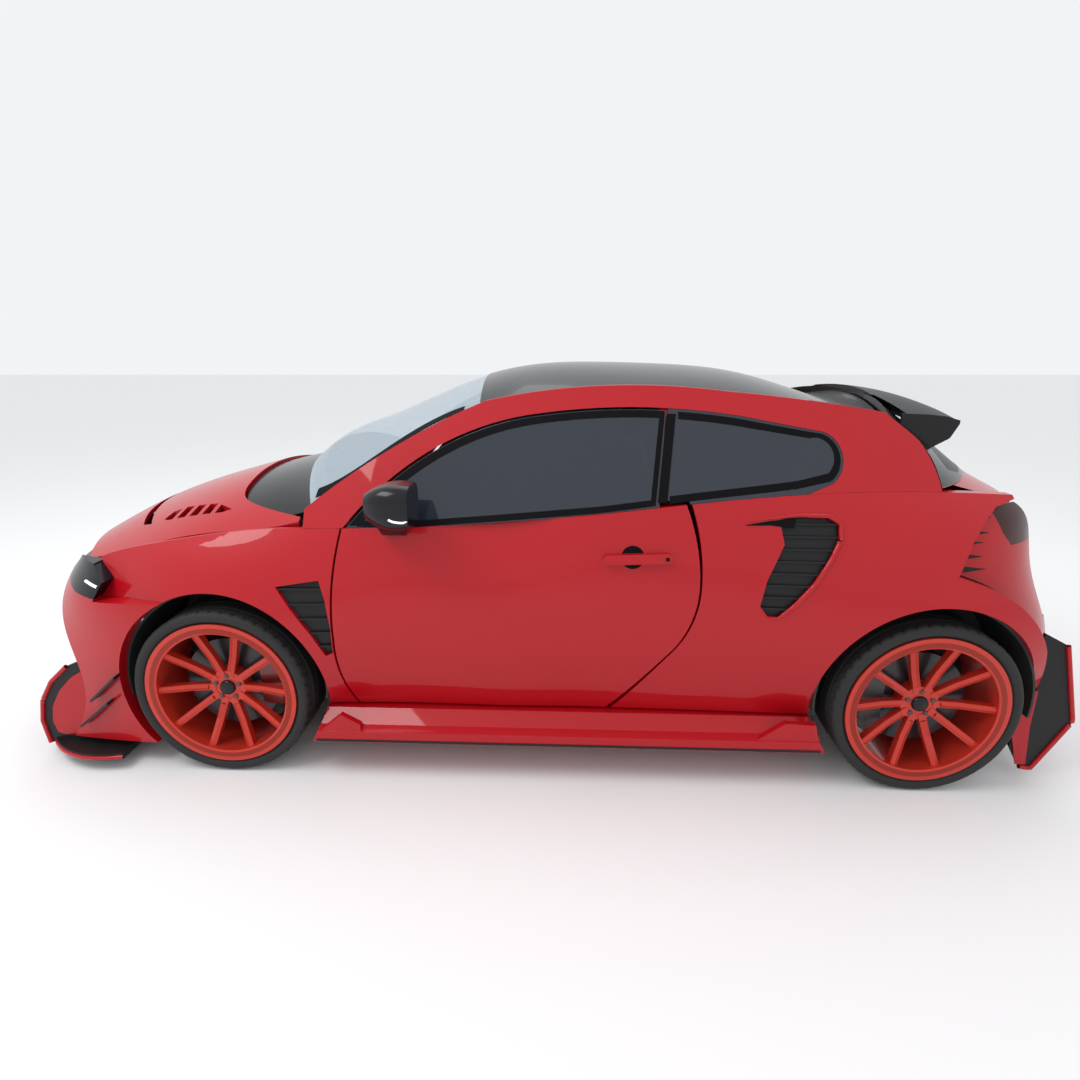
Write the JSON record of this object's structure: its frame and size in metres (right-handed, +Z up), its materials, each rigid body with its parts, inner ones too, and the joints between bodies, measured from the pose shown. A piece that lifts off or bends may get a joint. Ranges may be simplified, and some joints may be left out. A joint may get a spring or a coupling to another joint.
{
  "type": "hatchback car",
  "caption": "Compact wide-arched hatchback car with opening doors, bonnet and tailgate, steered front wheels and a hollow cabin.",
  "frame": {"origin": "on the ground, under the middle of the car's length and width", "axes": "+Z up, -X towards the nose, -Y towards the car's left side"},
  "size_m": [4.0518, 1.9458, 1.4981],
  "materials": {
    "body_paint": "gloss red paint",
    "gloss_black": "gloss black",
    "satin_black": "satin black",
    "clear_glass": "clear glass",
    "tinted_glass": "dark tinted glass",
    "lamp_glass": "smoked lamp lens",
    "tail_lens": "smoked dark red lens",
    "black_plastic": "grained black plastic",
    "chassis_paint": "dark grey underbody paint",
    "cast_iron": "dark cast metal",
    "caliper_paint": "dark red paint",
    "steel": "brushed steel",
    "seat_fabric": "dark woven cloth",
    "wheel_paint": "orange-red satin metallic",
    "tyre_rubber": "black rubber"
  },
  "bodies": {
    "car_body": {"floor_pan": "chassis_paint", "firewall": "chassis_paint", "roof_panel": "gloss_black", "pillar_frames": "body_paint", "front_wings": "body_paint", "quarter_panels": "body_paint", "side_skirts": "body_paint", "front_bumper": "body_paint", "front_splitter": "satin_black", "front_grille": "satin_black", "canards": "satin_black", "headlamps": "lamp_glass", "tail_lamps": "tail_lens", "rear_bumper": "body_paint", "rear_diffuser": "satin_black", "tail_vents": "satin_black", "windscreen": "clear_glass", "quarter_glass": "tinted_glass", "cowl": "gloss_black", "side_vents": "satin_black", "arch_liners": "black_plastic", "engine_block": "cast_iron", "front_subframe": "cast_iron", "rear_axle": "cast_iron", "exhaust": "steel", "front_seats": "seat_fabric", "rear_bench": "seat_fabric", "dashboard": "black_plastic", "steering_wheel": "black_plastic"},
    "bonnet_lid": {"bonnet": "body_paint"},
    "tailgate_lid": {"tailgate": "body_paint", "tailgate_glass": "tinted_glass", "rear_spoiler": "satin_black"},
    "left_door": {"door_left": "body_paint", "door_glass_left": "tinted_glass", "mirror_left": "gloss_black", "door_handle_left": "body_paint"},
    "right_door": {"door_right": "body_paint", "door_glass_right": "tinted_glass", "mirror_right": "gloss_black", "door_handle_right": "body_paint"},
    "left_knuckle": {"knuckle_left": "caliper_paint"},
    "right_knuckle": {"knuckle_right": "caliper_paint"},
    "front_left_wheel": {"wheel_front_left": "wheel_paint", "tyre_front_left": "tyre_rubber"},
    "front_right_wheel": {"wheel_front_right": "wheel_paint", "tyre_front_right": "tyre_rubber"},
    "rear_left_wheel": {"wheel_rear_left": "wheel_paint", "tyre_rear_left": "tyre_rubber"},
    "rear_right_wheel": {"wheel_rear_right": "wheel_paint", "tyre_rear_right": "tyre_rubber"}
  },
  "joints": [
    {"name": "left_door_hinge", "type": "hinge", "parent": "car_body", "child": "left_door", "pos_m": [-0.698, -0.857, 0.6], "axis": [0, 0, -1], "range_deg": [0, 65]},
    {"name": "right_door_hinge", "type": "hinge", "parent": "car_body", "child": "right_door", "pos_m": [-0.698, 0.857, 0.6], "axis": [0, 0, 1], "range_deg": [0, 65]},
    {"name": "bonnet_hinge", "type": "hinge", "parent": "car_body", "child": "bonnet_lid", "pos_m": [-0.825, 0, 1.06], "axis": [0, 1, 0], "range_deg": [0, 45]},
    {"name": "tailgate_hinge", "type": "hinge", "parent": "car_body", "child": "tailgate_lid", "pos_m": [1.252, 0, 1.402], "axis": [0, -1, 0], "range_deg": [0, 75]},
    {"name": "steering_left", "type": "hinge", "parent": "car_body", "child": "left_knuckle", "pos_m": [-1.14, -0.7, 0.33], "axis": [0, 0, 1], "range_deg": [-32, 32]},
    {"name": "steering_right", "type": "hinge", "parent": "car_body", "child": "right_knuckle", "pos_m": [-1.14, 0.7, 0.33], "axis": [0, 0, 1], "range_deg": [-32, 32]},
    {"name": "front_left_spin", "type": "hinge", "parent": "left_knuckle", "child": "front_left_wheel", "pos_m": [-1.14, -0.75, 0.33], "axis": [0, 1, 0], "continuous": true},
    {"name": "front_right_spin", "type": "hinge", "parent": "right_knuckle", "child": "front_right_wheel", "pos_m": [-1.14, 0.75, 0.33], "axis": [0, 1, 0], "continuous": true},
    {"name": "rear_left_spin", "type": "hinge", "parent": "car_body", "child": "rear_left_wheel", "pos_m": [1.42, -0.75, 0.33], "axis": [0, 1, 0], "continuous": true},
    {"name": "rear_right_spin", "type": "hinge", "parent": "car_body", "child": "rear_right_wheel", "pos_m": [1.42, 0.75, 0.33], "axis": [0, 1, 0], "continuous": true}
  ],
  "couplings": [
    {"joint": "steering_right", "follows": "steering_left", "ratio": 1}
  ]
}
